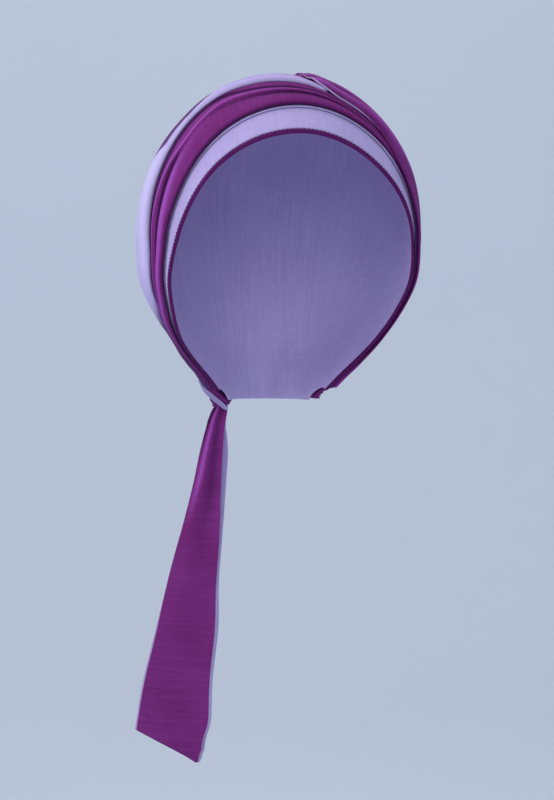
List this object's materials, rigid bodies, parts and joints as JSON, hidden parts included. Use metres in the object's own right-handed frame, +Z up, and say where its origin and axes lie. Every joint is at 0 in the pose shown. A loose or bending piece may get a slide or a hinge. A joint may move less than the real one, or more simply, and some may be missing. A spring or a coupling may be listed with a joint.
{
  "type": "headscarf",
  "caption": "Reversible jersey headscarf wound over a close cap, with a folded brow band, a turned-back lighter edge and two flat tails hanging from a knot at the nape.",
  "frame": {"origin": "the crown of the head that the scarf sits on, on the inner face of its cap", "axes": "+Z up, the face opening looks along -Y, and +X is the wearer's left"},
  "size_m": [0.1814, 0.1833, 0.4482],
  "materials": {
    "purple_jersey": "matte fine knit",
    "lavender_jersey": "matte fine knit",
    "binding_jersey": "matte fine knit"
  },
  "bodies": {
    "root": {"base_cap": "lavender_jersey", "front_binding": "binding_jersey", "brow_hem": "lavender_jersey", "brow_wrap": "purple_jersey", "crown_wrap": "purple_jersey", "crown_piping": "lavender_jersey", "turned_edge": "lavender_jersey", "nape_band": "purple_jersey", "nape_knot": "purple_jersey", "front_tail_face": "purple_jersey", "front_tail_lining": "lavender_jersey", "rear_tail_face": "lavender_jersey", "rear_tail_lining": "purple_jersey"}
  },
  "joints": []
}
